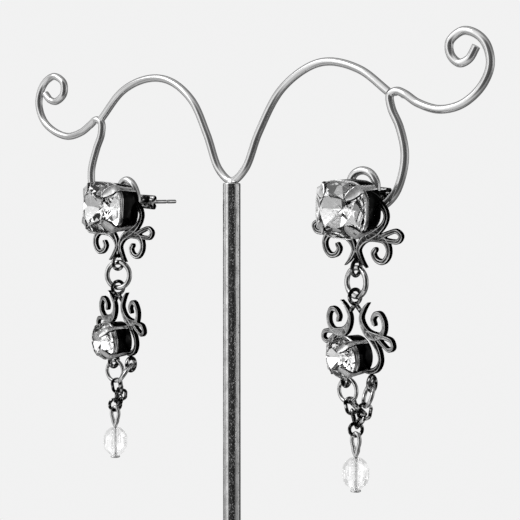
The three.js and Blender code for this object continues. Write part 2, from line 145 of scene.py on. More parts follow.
# How each earring hangs: turns in degrees, and slide, shift and sag in millimetres. The chain
# rows are points on the route of each short chain, from the middle of the two loops, and the
# joint is the ring where they meet.
HANGING = {
    "right": {
        "place": (25.6, -2.5, 95.9), "post": 12.25, "stud": (1, 8, 6), "ring_yaw": -16,
        "drop_yaw": -17, "lean": (0, 5.4, 1.2), "slide": (-0.15, -0.12, 0), "shift": -0.7,
        "sag": 0.5, "jump": {"left": (8, 0, -11), "right": (-24, -18, 0)},
        "joint": {"middle": (-0.68, 0, -7.38), "radius": 0.98, "faces": (-0.95, 0.5, 0)},
        "chains": [
            {
                "rows": [(-2.3, 0.09, -3.1), (-1.6, 0.02, -4.7), (-0.85, 0, -6.5)],
                "links": 2, "faces": (-0.85, 0.53, 0), "widths": (2.05, 1.75),
            },
            {
                "rows": [
                    (2.75, -1.0, -3.3), (2.4, -0.65, -4.2), (1.65, -0.4, -5.15),
                    (-0.4, 0, -6.6),
                ],
                "links": 2, "faces": (0.77, -0.64, 0), "widths": (2.3, 1.8),
            },
            {
                "rows": [(-1.4, -0.1, -3.35), (1.9, -0.75, -4.55)],
                "links": 1, "faces": (0.3, 0.3, 0.9), "widths": (1.6, 1.6),
            },
        ],
        "eye_turn": 15,
    },
    "left": {
        "place": (-21.85, -2.5, 95.9), "post": 13.6, "stud": (-2, 1, 4.5), "ring_yaw": 14,
        "drop_yaw": -18.5, "lean": (0, 5, 1.2), "slide": (-0.1, 0, 0), "shift": -2.6,
        "sag": 0.3, "jump": {"left": (20, 0, -8), "right": (-30, -35, 0)},
        "joint": {"middle": (-2.6, 0, -7.55), "radius": 0.96, "faces": (-1, 0.35, 0.1)},
        "chains": [
            {
                "rows": [(-2.5, 0.16, -3.4), (-1.75, 0.08, -4.9), (-2.3, -0.05, -6.62)],
                "links": 2, "faces": (0.8, -0.6, 0), "widths": (2.1, 1.8),
            },
            {
                "rows": [
                    (2.05, -1.65, -2.95), (1.35, -1.05, -4.3), (0.45, -0.4, -5.8),
                    (-2.1, 0.2, -7.0),
                ],
                "links": 3, "faces": (0.5, 0.87, 0.3), "widths": (1.8, 2.2, 1.9),
            },
        ],
        "eye_turn": 30,
    },
}

FLOOR = {"radius": 0.2, "fade": 5.2, "shade": 0.45}
KEY = {"place": (-0.3, -0.4, 0.5), "size": (0.4, 0.4), "power": 0.9}
AIM = (0, 0, 0.09)  # the middle of the earrings
CAMERA = {"place": (0.13594, -0.17284, 0.09455), "heading": 37.0, "pitch": 1.88, "lens": 94.85}
PALE = 0.885  # brightness of the backdrop
TENT = 1.3  # brightness of what the metal and the stones show

# ------------------------------------------------------------------ routes and frames


def along(four, part):
    """A point between the middle two of four, on the centripetal curve through them."""
    before, start, end, after = four
    gaps = [max((b - a).length, 1e-9) ** 0.5 for a, b in zip(four, four[1:])]
    lead = (start - before) / gaps[0] - (end - before) / (gaps[0] + gaps[1])
    lead += (end - start) / gaps[1]
    trail = (end - start) / gaps[1] - (after - start) / (gaps[1] + gaps[2])
    trail += (after - end) / gaps[2]
    lead *= gaps[1]
    trail *= gaps[1]
    square = (end - start) * 3 - lead * 2 - trail
    cube = (start - end) * 2 + lead + trail
    return start + lead * part + square * part ** 2 + cube * part ** 3


def route(rows, steps):
    """Points on the smooth curve through the rows."""
    rows = [Vector(row) for row in rows]
    rows = [rows[0] * 2 - rows[1], *rows, rows[-1] * 2 - rows[-2]]
    spans = len(rows) - 3
    points = []
    for step in range(steps + 1):
        place = spans * step / steps
        span = min(int(place), spans - 1)
        points.append(along(rows[span:span + 4], place - span))
    return points


def evenly(points, count):
    """Points at equal distances along a line of points, its two ends included."""
    lengths = [0.0]
    for a, b in zip(points, points[1:]):
        lengths.append(lengths[-1] + (b - a).length)
    spaced = []
    span = 0
    for step in range(count + 1):
        want = lengths[-1] * step / count
        while span < len(points) - 2 and lengths[span + 1] < want:
            span += 1
        part = (want - lengths[span]) / max(lengths[span + 1] - lengths[span], 1e-9)
        spaced.append(points[span].lerp(points[span + 1], part))
    return spaced


def in_threes(points):
    """Each point with the one before and the one after it, which at an end is itself."""
    return zip(points, [points[0], *points], [*points[1:], points[-1]])


def spun(degrees, axis):
    return Matrix.Rotation(math.radians(degrees), 4, axis)


def turned(yaw, pitch, roll):
    """Yaw about Z, then roll about Y, then pitch about X, in degrees."""
    return spun(yaw, "Z") @ spun(roll, "Y") @ spun(pitch, "X")


def moved(x, y, z):
    return Matrix.Translation((x, y, z))


def facing(middle, long_axis, face):
    """A frame whose Z lies along long_axis and whose Y is as near to face as it can be."""
    z = Vector(long_axis).normalized()
    y = Vector(face)
    y = (y - z * y.dot(z)).normalized()
    x = y.cross(z)
    grid = Matrix((x, y, z)).transposed().to_4x4()
    return Matrix.Translation(middle) @ grid


# ------------------------------------------------------------------ making a piece


def linked(name, mesh):
    piece = bpy.data.objects.new(name, mesh)
    bpy.context.scene.collection.objects.link(piece)
    return piece


def as_mesh(name, shape):
    mesh = bpy.data.meshes.new(name)
    shape.to_mesh(mesh)
    shape.free()
    return mesh


def closed_shape(bm):
    bmesh.ops.remove_doubles(bm, verts=bm.verts, dist=1e-5)
    bmesh.ops.recalc_face_normals(bm, faces=bm.faces)
    return bm


def only(kind, items):
    return [item for item in items if isinstance(item, kind)]


def put_at(place, shape):
    """Moves a shape to its place, and turns its faces round where that mirrors it."""
    bmesh.ops.transform(shape, matrix=place, verts=shape.verts)
    if place.determinant() < 0:
        bmesh.ops.reverse_faces(shape, faces=shape.faces)
    return shape


def make_pieces(group, body, rows):
    """Makes the pieces of a group that move with one body, in metres and at the origin.

    A row is a name, a shape in millimetres, its place, its finishes, the angle from which
    its edges look sharp, its finish's slot and the CAD nodes that it stands for.
    """
    for name, shape, place, finishes, angle, slot, *nodes in rows:
        mesh = as_mesh(name, put_at(Matrix.Scale(MM, 4) @ place, shape))
        for finish in finishes.split():
            mesh.materials.append(FINISH[finish])
        mesh.shade_smooth()
        mesh.set_sharp_from_angle(angle=math.radians(angle))
        piece = linked(f"{group}_{name}", mesh)
        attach(piece, body)
        if nodes:
            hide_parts(*[f"{group}_{node}" for node in nodes])


def merged(*shapes):
    """One bmesh with all the shapes in it."""
    whole = bmesh.new()
    for shape in shapes:
        kept = as_mesh("kept", shape)
        whole.from_mesh(kept)
        bpy.data.meshes.remove(kept)
    return whole


def with_modifiers(piece):
    """A piece's shape as its modifiers leave it."""
    ready = piece.evaluated_get(bpy.context.evaluated_depsgraph_get())
    shape = bmesh.new()
    shape.from_mesh(ready.to_mesh())
    ready.to_mesh_clear()
    return shape


def combined(shapes, way):
    """The first closed shape joined with or cut by the others, with up to four finishes."""
    pieces = []
    for shape in shapes:
        mesh = as_mesh("part", shape)
        for _ in range(4):
            mesh.materials.append(None)
        pieces.append(linked("part", mesh))
    first = pieces[0]
    for other in pieces[1:]:
        step = first.modifiers.new("step", "BOOLEAN")
        step.operation = way
        step.solver = "EXACT"
        step.object = other
    whole = with_modifiers(first)
    for piece in pieces:
        bpy.data.meshes.remove(piece.data)
    return whole


def wire_shape(points, diameter, sides=16, closed=False, sizes=None):
    """A round wire along the points. sizes are its thickness at each point, as a share."""
    line = bpy.data.curves.new("wire", "CURVE")
    line.dimensions = "3D"
    line.bevel_depth = diameter / 2
    line.bevel_resolution = max(0, (sides - 4) // 2)
    line.use_fill_caps = True
    spline = line.splines.new("POLY")
    spline.points.add(len(points) - 1)
    for index, (point, place) in enumerate(zip(spline.points, points)):
        point.co = (*place, 1)
        point.radius = sizes[index] if sizes else 1
    spline.use_cyclic_u = closed
    shape = with_modifiers(linked("wire", line))
    bpy.data.curves.remove(line)
    return closed_shape(shape)


def rounded_wire(points, diameter, sides=16):
    """A wire with its two ends ground round."""
    radius = diameter / 2
    first, last = points[0], points[-1]
    back = (points[0] - points[1]).normalized()
    onward = (points[-1] - points[-2]).normalized()
    turns = [30, 58, 80]
    nose = [first + back * radius * math.sin(math.radians(turn)) for turn in reversed(turns)]
    tail = [last + onward * radius * math.sin(math.radians(turn)) for turn in turns]
    slim = [math.cos(math.radians(turn)) for turn in turns]
    sizes = [*reversed(slim), *[1] * len(points), *slim]
    return wire_shape([*nose, *points, *tail], diameter, sides, sizes=sizes)


def ring_shape(radius, wire, steps, sides, gap=0.0, cut=0.0, flat=1.0):
    """A ring about Y. gap is its saw cut and cut is where that lies, both in degrees.

    flat squeezes its wire.
    """
    bm = bmesh.new()
    bmesh.ops.create_circle(bm, cap_ends=gap > 0, segments=sides, radius=wire / 2)
    put_at(moved(0, 0, radius) @ spun(90, "Y") @ Matrix.Diagonal((1, flat, 1, 1)), bm)
    put_at(spun(gap / 2, "Y"), bm)
    bmesh.ops.spin(
        bm, geom=[*bm.verts, *bm.edges, *bm.faces], cent=(0, 0, 0), axis=(0, 1, 0),
        angle=math.radians(360 - gap), steps=steps, use_merge=gap == 0,
    )
    return put_at(spun(cut, "Y"), closed_shape(bm))


def turned_shape(rows, steps=64):
    """A solid of revolution about Z through the rows (radius, height)."""
    bm = bmesh.new()
    corners = [bm.verts.new((radius, 0, height)) for radius, height in rows]
    for a, b in zip(corners, corners[1:]):
        bm.edges.new((a, b))
    bmesh.ops.spin(
        bm, geom=[*bm.verts, *bm.edges], cent=(0, 0, 0), axis=(0, 0, 1),
        angle=math.tau, steps=steps, use_merge=True,
    )
    return closed_shape(bm)


def rounded_rows(rows, radius, steps=4):
    """The rows of an outline with each inner corner rounded off."""
    soft = [Vector(rows[0])]
    for before, corner, after in zip(rows, rows[1:], rows[2:]):
        before, corner, after = Vector(before), Vector(corner), Vector(after)
        reach = min(radius, (before - corner).length / 2.1, (after - corner).length / 2.1)
        start = corner + (before - corner).normalized() * reach
        end = corner + (after - corner).normalized() * reach
        for step in range(steps + 1):
            part = step / steps
            soft.append(start.lerp(corner, part).lerp(corner.lerp(end, part), part))
    soft.append(Vector(rows[-1]))
    return soft


def outline_loop(bm, half, corner, height, per_corner, round_steps=48):
    """A round or round-cornered square loop of edges about Z."""
    if corner >= half:
        bmesh.ops.create_circle(bm, segments=round_steps, radius=half)
    else:
        square = bmesh.ops.create_circle(
            bm, cap_ends=True, segments=4, radius=half * math.sqrt(2),
        )
        put_at(spun(45, "Z"), bm)
        bmesh.ops.bevel(
            bm, geom=square["verts"], offset=corner, segments=per_corner,
            affect="VERTICES", profile=0.5, material=-1,
        )
        bmesh.ops.delete(bm, geom=list(bm.faces), context="FACES_ONLY")
    bmesh.ops.translate(bm, vec=(0, 0, height), verts=bm.verts)
    return list(bm.edges)


def walled(half, corner, rows, per_corner):
    """A closed shell drawn up from an outline: rows are (half size, height), inside last."""
    bm = bmesh.new()
    edges = outline_loop(bm, half, corner, rows[0][1], per_corner)
    scale = rows[0][0] / half
    bmesh.ops.scale(bm, vec=(scale, scale, 1), verts=bm.verts)
    bmesh.ops.contextual_create(bm, geom=edges)
    for before, after in zip(rows, rows[1:]):
        grown = bmesh.ops.extrude_edge_only(bm, edges=edges)["geom"]
        new, edges = only(BMVert, grown), only(BMEdge, grown)
        scale = after[0] / before[0]
        bmesh.ops.scale(bm, vec=(scale, scale, 1), verts=new)
        bmesh.ops.translate(bm, vec=(0, 0, after[1] - before[1]), verts=new)
    bmesh.ops.contextual_create(bm, geom=edges)
    return closed_shape(bm)


def lofted(section, outline, stations, finishes=None):
    """A closed bar: section(spot, station) places each spot of its outline at a station."""
    bm = bmesh.new()
    role = bm.verts.layers.int.new("corner")
    corners = []
    for index, spot in enumerate(outline):
        corners.append(bm.verts.new(section(spot, stations[0])))
        corners[-1][role] = index
    edges = [bm.edges.new((a, b)) for a, b in zip(corners, [*corners[1:], corners[0]])]
    bmesh.ops.contextual_create(bm, geom=edges)
    for station in stations[1:]:
        grown = bmesh.ops.extrude_edge_only(bm, edges=edges)["geom"]
        for corner in only(BMVert, grown):
            corner.co = section(outline[corner[role]], station)
        edges = only(BMEdge, grown)
    bmesh.ops.contextual_create(bm, geom=edges)
    if finishes:
        for face in bm.faces:
            spots = sorted({corner[role] for corner in face.verts})
            if len(spots) == 2:
                low, high = spots
                face.material_index = finishes[high if high - low > 1 else low]
    bmesh.ops.recalc_face_normals(bm, faces=bm.faces)
    return bm


# ------------------------------------------------------------------ finishes


def plugged(tree, node, sockets):
    """Gives a node's sockets their values, or links them to outputs of other nodes."""
    for name, value in sockets.items():
        if isinstance(value, bpy.types.NodeSocket):
            tree.links.new(value, node.inputs[name])
        else:
            node.inputs[name].default_value = value
    return node


def added(tree, kind, sockets, **settings):
    node = tree.nodes.new(f"ShaderNode{kind}")
    for name, value in settings.items():
        setattr(node, name, value)
    return plugged(tree, node, sockets)


def new_finish(name, sockets):
    finish = bpy.data.materials.new(name)
    finish.use_nodes = True
    tree = finish.node_tree
    return finish, tree, plugged(tree, tree.nodes["Principled BSDF"], sockets)


def grain(tree, scale, detail, stretch=(1, 1, 1)):
    """A pattern fixed to the piece. scale is in patterns per metre."""
    spot = added(tree, "TexCoord", {}).outputs["Object"]
    sized = added(tree, "Mapping", {"Vector": spot, "Scale": stretch}).outputs["Vector"]
    noise = added(tree, "TexNoise", {"Vector": sized, "Scale": scale, "Detail": detail})
    return noise.outputs["Fac"]


def ramp(tree, value, stops):
    """Greys along a value: stops are (place, grey)."""
    scale = added(tree, "ValToRGB", {"Fac": value})
    band = scale.color_ramp.elements
    while len(band) < len(stops):
        band.new(0.5)
    for element, (place, grey) in zip(band, stops):
        element.position = place
        element.color = (grey, grey, grey, 1)
    return scale.outputs["Color"]


def worn(tree, shader, value, roughness, relief, spread=(0.3, 0.7)):
    """Gloss and relief that follow a pattern. relief is its height in metres."""
    rough = added(tree, "MapRange", {
        "Value": value, "From Min": spread[0], "From Max": spread[1],
        "To Min": roughness[0], "To Max": roughness[1],
    })
    raised = added(tree, "Bump", {"Height": value, "Strength": 1.0, "Distance": relief})
    plugged(tree, shader, {
        "Roughness": rough.outputs["Result"], "Normal": raised.outputs["Normal"],
    })


def metal(
    name, tones, roughness, tone_scale, relief_scale, relief, stretch=(1, 1, 1),
    spread=(0.28, 0.5, 0.72), share=1.0, slant=1.0, coat=0.0,
):
    """A metal whose tone, gloss and relief change over its surface.

    share is how bare it is, slant is how much of its shine shows at a slant, and coat is how
    much clear gloss lies over it.
    """
    finish, tree, shader = new_finish(name, {
        "Metallic": share, "Specular Tint": (slant, slant, slant, 1),
        "Coat Weight": coat, "Coat Roughness": 0.06,
    })
    patches = grain(tree, tone_scale, 5.0, stretch)
    places = [0.3, 0.7] if len(tones) == 2 else spread
    plugged(tree, shader, {"Base Color": ramp(tree, patches, list(zip(places, tones)))})
    worn(tree, shader, grain(tree, relief_scale, 6.0, stretch), roughness, relief)
    return finish


def drawn_chrome():
    """Chrome over drawn steel, with pale flecks where the plating is dull."""
    along_post = (1, 1, 0.6)
    finish = metal("drawn_chrome", (0.55, 0.86), (0.04, 0.16), 900, 2400, 7e-6, along_post)
    tree = finish.node_tree
    flecks = grain(tree, 5600, 2.0, along_post)
    bare = ramp(tree, flecks, [(0.56, 1.0), (0.6, 0.85), (0.64, 0.0)])
    plugged(tree, tree.nodes["Principled BSDF"], {"Metallic": bare})
    return finish


def glass(name, ior, scale, relief, share=1.0):
    """Clear glass. share is how much of it is glass, and the rest lets light straight by."""
    finish, tree, shader = new_finish(name, {
        "Alpha": share, "Base Color": (1, 1, 1, 1), "Transmission Weight": 1.0, "IOR": ior,
    })
    worn(tree, shader, grain(tree, scale, 3.0), (0.0, 0.025), relief, (0.45, 0.8))
    return finish


FINISH = {
    "chrome": metal("polished_chrome", (0.8, 0.92), (0.03, 0.08), 260, 520, 1.2e-6, share=0.78),
    "foot": metal("satin_chrome", (0.8, 0.94), (0.36, 0.5), 180, 1400, 6e-6, share=0.85),
    "post": drawn_chrome(),
    "cup": metal(
        "cup_black", (0.003, 0.008, 0.05), (0.1, 0.3), 900, 3200, 1.2e-5,
        spread=(0.35, 0.6, 0.76), slant=0.2, coat=0.12,
    ),
    "foil": metal("stone_foil", (0.82, 0.93), (0.0, 0.04), 900, 2500, 1e-6),
    "crystal": glass("crystal", 1.6, 700, 2e-7),
    "bead": glass("bead_glass", 1.3, 420, 2e-6, share=0.27),
    # Two copies of one silver for the scroll faces: this darker one is painted shade, on the
    # upper plate and on the lobe that wraps round each cup.
    "dark_face": metal(
        "silver_face_painted_shade", (0.006, 0.05, 0.3), (0.3, 0.5), 2200, 5600, 1.8e-5, slant=0.5,
    ),
    # This paler copy of the same silver is painted light, on the faces of the lower plate.
    "pale_face": metal("silver_face_painted_light", (0.06, 0.58, 0.95), (0.28, 0.45), 1500, 5200, 1.8e-5),
    # The sides of the strokes: near-black, with little shine at a slant.
    "wall": metal(
        "near_black_side", (0.002, 0.008), (0.22, 0.45), 1500, 4200, 8e-6, slant=0.2,
    ),
    # Edges of strokes and claws and the cup rims: partly bare metal rubbed bright, partly a
    # painted highlight. The second one is for the upper plate.
    "edge": metal("worn_edge_and_painted_highlight", (0.55, 0.9), (0.08, 0.2), 1600, 3800, 3e-6),
    "dark_edge": metal("worn_edge_dark_and_painted_highlight", (0.45, 0.95), (0.12, 0.3), 1600, 3800, 3e-6),
    "silver": metal("silver_wire", (0.36, 0.76, 0.94), (0.06, 0.18), 900, 2000, 2e-6),
    # Mostly black with a few bright flecks: painted shadow on the small rings, which sit in
    # shade, and on the sides and backs of the claws.
    "shadow": metal(
        "wire_painted_shadow", (0.004, 0.03, 0.8), (0.1, 0.3), 1500, 3600, 4e-6,
        spread=(0.4, 0.52, 0.66),
    ),
    "claw": metal(
        "claw_silver", (0.16, 0.88, 1.0), (0.3, 0.5), 1300, 2400, 1.2e-5,
        spread=(0.34, 0.4, 0.6), share=0.6,
    ),
    "pin": metal("pin_wire", (0.75, 0.92, 0.98), (0.28, 0.42), 1200, 2400, 4e-6),
    "link": metal(
        "link_silver", (0.004, 0.2, 0.96), (0.05, 0.14), 1400, 2600, 3e-6,
        spread=(0.48, 0.54, 0.6),
    ),
}

# ------------------------------------------------------------------ surroundings


def set_camera():
    data = bpy.data.cameras.new("camera")
    data.lens = CAMERA["lens"]
    data.sensor_width = 36
    data.clip_start = 0.01
    camera = linked("camera", data)
    camera.location = CAMERA["place"]
    camera.rotation_euler = (
        math.radians(90 - CAMERA["pitch"]), 0, math.radians(CAMERA["heading"]),
    )
    bpy.context.scene.camera = camera


def sky_share(tree, direction, axis, stops):
    """Greys of the surroundings by how far a direction leans along an axis."""
    lean = added(tree, "VectorMath", {0: direction, 1: axis}, operation="DOT_PRODUCT")
    share = {0: lean.outputs["Value"], 1: 0.5, 2: 0.5}
    shifted = added(tree, "Math", share, operation="MULTIPLY_ADD")
    return ramp(tree, shifted.outputs["Value"], stops)


# A colour mix has several sockets of the same name, so these go by number.
FIRST_COLOUR, SECOND_COLOUR, MIXED_COLOUR = 6, 7, 2


def mixed(tree, factor, first, second, way="MIX"):
    colours = {"Factor": factor, FIRST_COLOUR: first, SECOND_COLOUR: second}
    mix = added(tree, "Mix", colours, data_type="RGBA", blend_type=way)
    return mix.outputs[MIXED_COLOUR]


def chosen(tree, share, first, second):
    """The first shader where share is 0 and the second where it is 1."""
    return added(tree, "MixShader", {"Fac": share, 1: first, 2: second}).outputs["Shader"]


def set_surroundings():
    """A pale tent with dark gaps between its white cards, which polished metal shows."""
    world = bpy.data.worlds.new("tent")
    world.use_nodes = True
    bpy.context.scene.world = world
    tree = world.node_tree
    direction = added(tree, "TexCoord", {}).outputs["Generated"]
    ahead = spun(CAMERA["heading"], "Z") @ spun(-CAMERA["pitch"], "X") @ Vector((0, 1, 0))
    rings = sky_share(tree, direction, ahead, [
        (0.0, 0.04), (0.105, 0.05), (0.15, 0.3), (0.21, 0.95), (0.34, 1.0), (0.4, 0.5),
        (0.5, 0.45), (0.56, 0.9), (0.63, 0.7), (0.69, 0.24), (0.84, 0.16), (0.9, 0.45),
        (0.95, PALE),
    ])
    sides = sky_share(tree, direction, ahead.cross(UP).normalized(), [
        (0.0, 0.9), (0.2, 1.0), (0.36, 1.0), (0.5, 0.8), (0.62, 0.5), (0.76, 0.42),
        (0.81, 0.42), (0.9, 0.26), (0.96, 0.4), (0.985, 0.85),
    ])
    heights = sky_share(tree, direction, UP, [
        (0.0, 0.5), (0.3, 0.55), (0.45, 0.85), (0.55, 1.0), (0.7, 0.9), (0.85, 0.7), (1.0, 0.6),
    ])
    level = mixed(tree, 1, rings, sides, "MULTIPLY")
    banded = mixed(tree, 1, level, heights, "MULTIPLY")
    turn = added(tree, "Mapping", {"Vector": direction, "Rotation": (1.36, 2.65, 0.18)})
    panes = added(tree, "TexVoronoi", {"Vector": turn.outputs["Vector"], "Scale": 19})
    tones = added(tree, "SeparateColor", {"Color": panes.outputs["Color"]})
    glints = ramp(tree, tones.outputs["Red"], [
        (0.0, 0.02), (0.08, 0.03), (0.11, 0.32), (0.26, 0.46), (0.3, 0.7), (0.54, 0.88),
        (0.58, 1.15), (0.78, 1.3), (0.82, 1.75), (1.0, 1.9),
    ])
    glinting = mixed(tree, 1, glints, heights, "MULTIPLY")
    shown = added(tree, "LightPath", {}).outputs
    tent = mixed(tree, shown["Is Transmission Ray"], banded, glinting)
    lit = plugged(tree, tree.nodes["Background"], {"Color": tent, "Strength": TENT})
    plain = added(tree, "Background", {"Color": (PALE, PALE, PALE, 1)})
    seen = chosen(
        tree, shown["Is Camera Ray"], lit.outputs["Background"], plain.outputs["Background"],
    )
    plugged(tree, tree.nodes["World Output"], {"Surface": seen})


def set_light():
    """A soft box that looks at the earrings."""
    data = bpy.data.lights.new("key", "AREA")
    data.shape = "RECTANGLE"
    data.size, data.size_y = KEY["size"]
    data.energy = KEY["power"]
    light = linked("key", data)
    light.location = KEY["place"]
    aim = Vector(AIM) - Vector(KEY["place"])
    light.rotation_euler = aim.to_track_quat("-Z", "Y").to_euler()
    light.visible_camera = False


def make_floor():
    """A pale sweep that is lit near the foot and fades evenly into the surroundings."""
    bm = bmesh.new()
    bmesh.ops.create_circle(
        bm, cap_ends=True, cap_tris=True, segments=96, radius=FLOOR["radius"],
    )
    floor = linked("floor", as_mesh("floor", bm))
    finish, tree, shader = new_finish("pale_sweep", {
        "Base Color": (0.82, 0.82, 0.82, 1), "Roughness": 0.7, "Specular IOR Level": 0.1,
    })
    spot = added(tree, "TexCoord", {}).outputs["Object"]
    sized = added(tree, "Mapping", {"Vector": spot, "Scale": (FLOOR["fade"],) * 3})
    away = added(
        tree, "TexGradient", {"Vector": sized.outputs["Vector"]}, gradient_type="SPHERICAL",
    )
    share = ramp(tree, away.outputs["Fac"], [(0.1, 0.0), (0.75, FLOOR["shade"])])
    glow = added(tree, "Emission", {"Color": (PALE, PALE, PALE, 1)}).outputs["Emission"]
    sweep = chosen(tree, share, glow, shader.outputs["BSDF"])
    through = added(tree, "BsdfTransparent", {}).outputs["BSDF"]
    shown = added(tree, "LightPath", {}).outputs["Is Camera Ray"]
    seen = chosen(tree, shown, through, sweep)
    plugged(tree, tree.nodes["Material Output"], {"Surface": seen})
    floor.data.materials.append(finish)


# ------------------------------------------------------------------ stand


def foot_shape():
    radius, thick = FOOT["radius"], FOOT["thickness"]
    rows = [
        (0, 0.0), (radius - 0.6, 0.0), (radius, 0.6), (radius, 2.4), (radius - 0.9, 3.0),
        (radius - 1.1, 3.3), (radius - 1.9, 3.6), (8.0, thick), (4.2, thick), (3.6, thick),
        (FOOT["socket"], thick), (FOOT["socket"], FOOT["floor"]), (0, FOOT["floor"]),
    ]
    return turned_shape(rounded_rows(rows, radius=0.5), steps=128)


def weld_bead(x, z, size):
    bm = bmesh.new()
    bmesh.ops.create_icosphere(bm, subdivisions=3, radius=size)
    return put_at(moved(x, 0, z) @ Matrix.Diagonal((1.15, 0.72, 0.8, 1)), bm)


def wires_shape():
    """The arched wire and both arms, up from the valley, with the solder between them."""
    left = [(-x, 0, z) for x, z in reversed(ARMS["left"]["arch"])]
    right = [(x, 0, z) for x, z in ARMS["right"]["arch"]]
    shapes = [wire_shape(route([*left, (0, 0, 0), *right], 220), WIRE, sides=32)]
    for arm in ARMS.values():
        bent = [(arm["side"] * x, 0, z) for x, z in arm["wire"]]
        shapes.append(wire_shape(route(bent, 340), WIRE, sides=32))
        for x, z in arm["welds"]:
            shapes.append(weld_bead(arm["side"] * x, z, WIRE * 0.6))
    return merged(*shapes)


def post_shape():
    """The upright, cut flat under the arched wire, with the solder that holds the wire."""
    top = VALLEY - WIRE / 4
    foot = FOOT["floor"] + 0.3
    rows = [(0, foot), (POST / 2, foot), (POST / 2, top), (0, top)]
    post = turned_shape(rounded_rows(rows, radius=0.22), steps=72)
    return merged(post, weld_bead(0, VALLEY - 0.3, POST * 0.36))


def make_stand():
    at_valley = moved(0, 0, VALLEY)
    make_pieces("stand", "stand", [
        ("foot", foot_shape(), moved(0, 0, 0), "foot", 40, "stand_chrome", "base"),
        ("wires", wires_shape(), at_valley, "chrome", 40, "stand_chrome", "frame"),
        ("post", post_shape(), moved(0, 0, 0), "post", 40, "stand_chrome"),
    ])


# ------------------------------------------------------------------ settings

# Corners of a stroke's section, on its right and then its left: how far each lies inside
# the stroke's side, and its place through the plate.
EDGE = [
    (0.3, -0.46), (0.22, -0.5), (0.13, -0.47), (0.0, -0.3), (0.0, 0.34), (0.06, 0.45),
    (0.16, 0.5),
]
SECTION = [(1, *row) for row in EDGE] + [(-1, *row) for row in reversed(EDGE)]
# A stroke's finishes: its face, its bright edges, partly rubbed bare and partly a painted
# highlight, its sides, and painted shade for faces near the cup.
FACE, BRIGHT, WALL, SHADED = range(4)
SECTION_FINISH = [
    BRIGHT, BRIGHT, WALL, WALL, WALL, BRIGHT, FACE, BRIGHT, WALL, WALL, WALL, BRIGHT, BRIGHT,
    FACE,
]
# The lobe, which wraps round the cup, has painted shade on its faces in place of its face finish.
SHADED_FINISH = [SHADED if finish == FACE else finish for finish in SECTION_FINISH]

# Half a plate's strokes: rows, steps, finishes and thickness. Strokes that cross differ a
# little in thickness, and so do the two halves, so that no two faces lie in one plane.
STROKES = [
    (STEM, 110, SECTION_FINISH, PLATE),
    (EYELET, 54, SECTION_FINISH, PLATE * 0.96),
    (LOBE, 54, SHADED_FINISH, PLATE * 0.98),
]
LEFT_HALF = 0.99


def stroke_stations(rows, steps, depth):
    """The places along a stroke, with both ends drawn to a round point."""
    stations = []
    for point, before, after in in_threes(route(rows, steps)):
        heading = Vector((after.x - before.x, 0, after.y - before.y)).normalized()
        across = Vector((heading.z, 0, -heading.x))
        stations.append((Vector((point.x, 0, point.y)), across, heading, point.z, depth))
    ends = []
    for (middle, across, heading, width, _), way in ((stations[0], -1), (stations[-1], 1)):
        caps = []
        for turn in (25, 48, 66, 80, 88):
            reach = 0.45 * width * math.sin(math.radians(turn)) * way
            slim = width * math.cos(math.radians(turn))
            caps.append((middle + heading * reach, across, heading, slim, depth))
        ends.append(caps)
    return [*reversed(ends[0]), *stations, *ends[1]]


def stroke_section(spot, station):
    side, inset, through = spot
    middle, across, _, width, depth = station
    inset *= min(1, width / 0.85)
    return middle + across * side * (width / 2 - inset) + Vector((0, through * depth, 0))


def scroll_plate(flip):
    """Both halves of the scroll plate, soldered into one. Flipped, they point up."""
    half = Matrix.Identity(4)
    if flip:
        splay = spun(LOWER_SPLAY, "Y")
        half = moved(0, 0, LOWER_LIFT) @ splay @ Matrix.Diagonal((1, 1, -1, 1))
    strokes = []
    for side, thin in ((1, 1), (-1, LEFT_HALF)):
        place = Matrix.Diagonal((side, 1, 1, 1)) @ half
        for rows, steps, finishes, depth in STROKES:
            stations = stroke_stations(rows, steps, depth * thin)
            strokes.append(put_at(place, lofted(stroke_section, SECTION, stations, finishes)))
    return combined(strokes, "UNION")


def cup_shape(size):
    """A deep tapered cup with a rolled rim, drawn along Z with its mouth up."""
    rim, back = size["rim"], size["back"]
    wide, narrow = size["rim_half"], size["back_half"]
    slope = (wide - narrow) / (rim - back)
    side = [(narrow + slope * (z - back), z) for z in (back + 0.25, back + 1.3, rim - 0.7)]
    rows = [
        (narrow * 0.35, back), (narrow - 0.22, back), (narrow - 0.05, back + 0.08), *side,
        (wide - 0.13, rim - 0.42), (wide - 0.02, rim - 0.36), (wide + 0.06, rim - 0.2),
        (wide + 0.05, rim - 0.02), (wide - 0.06, rim + 0.08), (wide - 0.08, rim + 0.2),
        (wide - 0.02, rim + 0.34), (wide - 0.08, rim + 0.5), (wide - 0.22, rim + 0.53),
        (wide - 0.34, rim + 0.4), (wide - 0.4, rim - 0.1), (narrow - 0.35, back + 0.9),
        (narrow * 0.3, back + 0.6),
    ]
    bm = walled(wide, wide * size["corner"] / size["half"], rows, per_corner=9)
    # The rolled rim takes the edge finish, partly rubbed metal and partly a painted highlight.
    for face in bm.faces:
        if rim - 0.4 < face.calc_center_median().z < rim + 0.6:
            face.material_index = 1
    return bm


# Corners of a claw's section: across, as a share of its half width, and outwards.
CLAW_BAND = [
    (1, 0.1), (0.93, 0.42), (0.78, 0.54), (0.4, 0.16), (-0.4, 0.16), (-0.78, 0.54),
    (-0.93, 0.42), (-1, 0.1), (-0.96, -0.5), (-0.4, -0.44), (0.4, -0.44), (0.96, -0.5),
]
# The claws' sides and backs take painted shadow, and their edges a painted highlight over rubbed
# metal.
CLAW_FINISH = [WALL, BRIGHT, FACE, FACE, FACE, BRIGHT, WALL, WALL, WALL, WALL, WALL, WALL]

